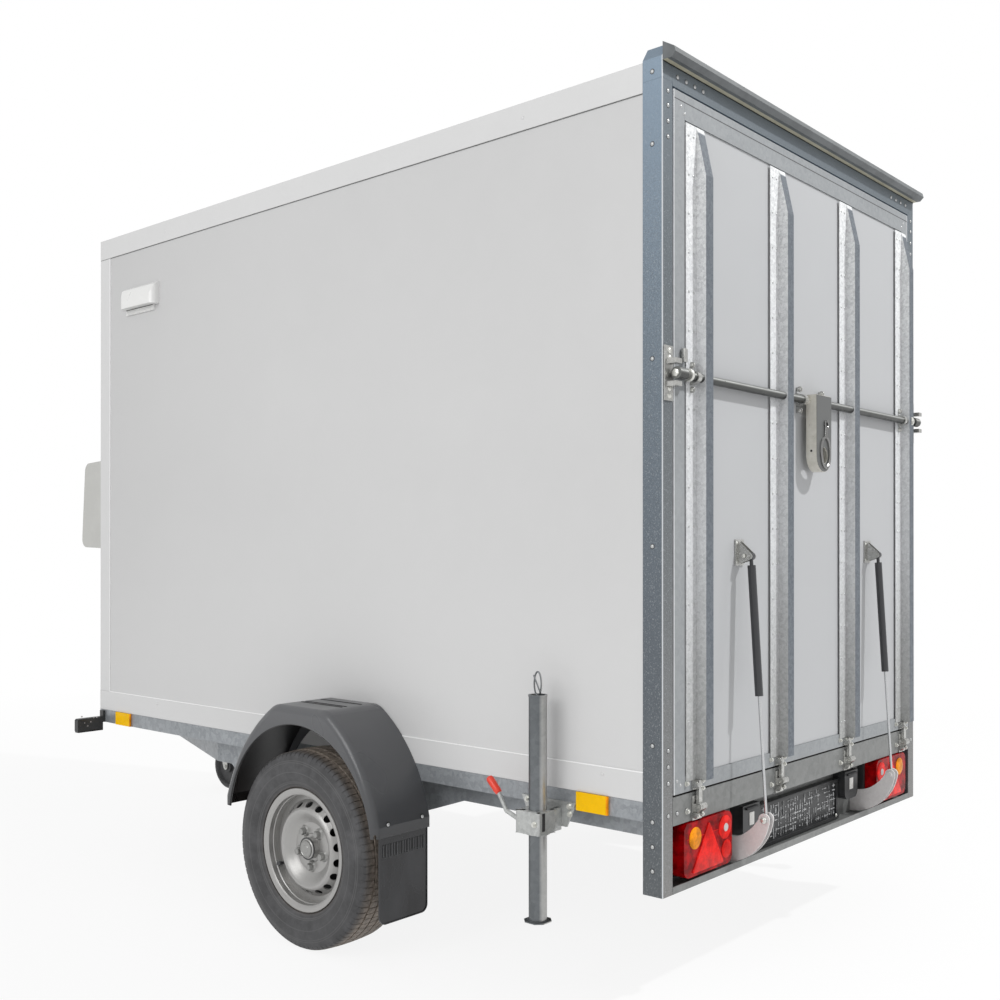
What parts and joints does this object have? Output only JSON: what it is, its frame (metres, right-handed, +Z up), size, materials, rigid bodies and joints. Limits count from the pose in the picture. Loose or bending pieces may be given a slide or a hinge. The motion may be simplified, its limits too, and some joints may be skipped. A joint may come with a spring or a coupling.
{
  "type": "enclosed cargo trailer",
  "caption": "Single-axle enclosed cargo trailer with a panelled body, a full-height rear loading ramp on gas struts, prop stands and a jockey wheel.",
  "frame": {"origin": "on the ground, under the middle of the whole trailer", "axes": "+X to the trailer's left, +Y to its rear (the ramp), +Z up"},
  "size_m": [1.9858, 4.053, 2.436],
  "materials": {
    "galvanised": "satin",
    "zinc": "satin",
    "white_panel": "satin",
    "white_profile": "satin",
    "plywood": "satin",
    "black_plastic": "matte",
    "grey_plastic": "satin",
    "tyre_rubber": "matte",
    "silver_wheel": "satin",
    "black_paint": "gloss",
    "chrome_rod": "gloss",
    "red_lens": "gloss",
    "amber_lens": "gloss"
  },
  "bodies": {
    "chassis": {"side_rails": "galvanised", "cross_members": "galvanised", "chassis_beams": "galvanised", "drawbar_beams": "galvanised", "coupling_head": "zinc", "torsion_axle": "galvanised", "floor": "plywood", "side_walls": "white_panel", "front_wall": "white_panel", "roof": "white_panel", "roof_rails": "white_profile", "corner_profiles": "white_profile", "bottom_trims": "white_profile", "rear_portal": "galvanised", "corner_caps": "galvanised", "rain_gutter": "galvanised", "rear_sill": "galvanised", "lamp_bay": "galvanised", "rear_lamps": "red_lens", "plate_holder": "black_plastic", "plate_lamps": "black_plastic", "strut_arms": "zinc", "lock_keepers": "zinc", "hinge_sockets": "zinc", "fenders": "black_plastic", "mudflaps": "black_plastic", "side_reflectors": "amber_lens", "marker_lamps": "black_plastic", "vent_cowl": "white_profile", "front_cabinet": "grey_plastic", "prop_clamps": "galvanised", "jockey_clamp": "galvanised"},
    "ramp": {"ramp_frame": "galvanised", "ramp_panel": "white_panel", "ramp_stiffeners": "galvanised", "lock_bar": "zinc", "bar_bearings": "zinc", "hinge_eyes": "zinc", "strut_brackets": "zinc"},
    "wheel_left": {"tyre_left": "tyre_rubber", "wheel_left": "silver_wheel"},
    "wheel_right": {"tyre_right": "tyre_rubber", "wheel_right": "silver_wheel"},
    "strut_cylinder_left": {"strut_cylinder_left": "black_paint"},
    "strut_cylinder_right": {"strut_cylinder_right": "black_paint"},
    "strut_rod_left": {"strut_rod_left": "chrome_rod"},
    "strut_rod_right": {"strut_rod_right": "chrome_rod"},
    "prop_leg_left": {"prop_leg_left": "galvanised"},
    "prop_leg_right": {"prop_leg_right": "galvanised"},
    "jockey_leg": {"jockey_leg": "galvanised"},
    "jockey_fork": {"jockey_fork": "galvanised"},
    "jockey_wheel": {"jockey_wheel": "tyre_rubber"}
  },
  "joints": [
    {"name": "wheel_left_spin", "type": "hinge", "parent": "chassis", "child": "wheel_left", "pos_m": [0.8925, 0.7785, 0.295], "axis": [-1, 0, 0], "continuous": true},
    {"name": "wheel_right_spin", "type": "hinge", "parent": "chassis", "child": "wheel_right", "pos_m": [-0.8925, 0.7785, 0.295], "axis": [-1, 0, 0], "continuous": true},
    {"name": "ramp_hinge", "type": "hinge", "parent": "chassis", "child": "ramp", "pos_m": [0, 1.9465, 0.538], "axis": [-1, 0, 0], "range_deg": [0, 105]},
    {"name": "strut_left_pivot", "type": "hinge", "parent": "ramp", "child": "strut_cylinder_left", "pos_m": [0.4065, 1.9655, 1.171], "axis": [-1, 0, 0], "range_deg": [0, 1.21]},
    {"name": "strut_left_slide", "type": "slide", "parent": "strut_cylinder_left", "child": "strut_rod_left", "axis": [0, -0.0646, 0.9979], "range_m": [0, 0.141]},
    {"name": "strut_right_pivot", "type": "hinge", "parent": "ramp", "child": "strut_cylinder_right", "pos_m": [-0.4065, 1.9655, 1.171], "axis": [-1, 0, 0], "range_deg": [0, 1.21]},
    {"name": "strut_right_slide", "type": "slide", "parent": "strut_cylinder_right", "child": "strut_rod_right", "axis": [0, -0.0646, 0.9979], "range_m": [0, 0.141]},
    {"name": "prop_left_slide", "type": "slide", "parent": "chassis", "child": "prop_leg_left", "axis": [0, 0, 1], "range_m": [-0.222, 0.219]},
    {"name": "prop_right_slide", "type": "slide", "parent": "chassis", "child": "prop_leg_right", "axis": [0, 0, 1], "range_m": [-0.222, 0.219]},
    {"name": "jockey_slide", "type": "slide", "parent": "chassis", "child": "jockey_leg", "axis": [0, 0, 1], "range_m": [-0.06, 0.19]},
    {"name": "jockey_swivel", "type": "hinge", "parent": "jockey_leg", "child": "jockey_fork", "pos_m": [-0.29, -1.382, 0.246], "axis": [0, 0, 1], "continuous": true},
    {"name": "jockey_spin", "type": "hinge", "parent": "jockey_fork", "child": "jockey_wheel", "pos_m": [-0.29, -1.337, 0.11], "axis": [-1, 0, 0], "continuous": true}
  ],
  "couplings": [
    {"joint": "strut_left_pivot", "follows": "ramp_hinge", "ratio": 0.011389},
    {"joint": "strut_left_slide", "follows": "ramp_hinge", "m_per_rad": 0.076825},
    {"joint": "strut_right_pivot", "follows": "ramp_hinge", "ratio": 0.011389},
    {"joint": "strut_right_slide", "follows": "ramp_hinge", "m_per_rad": 0.076825}
  ]
}
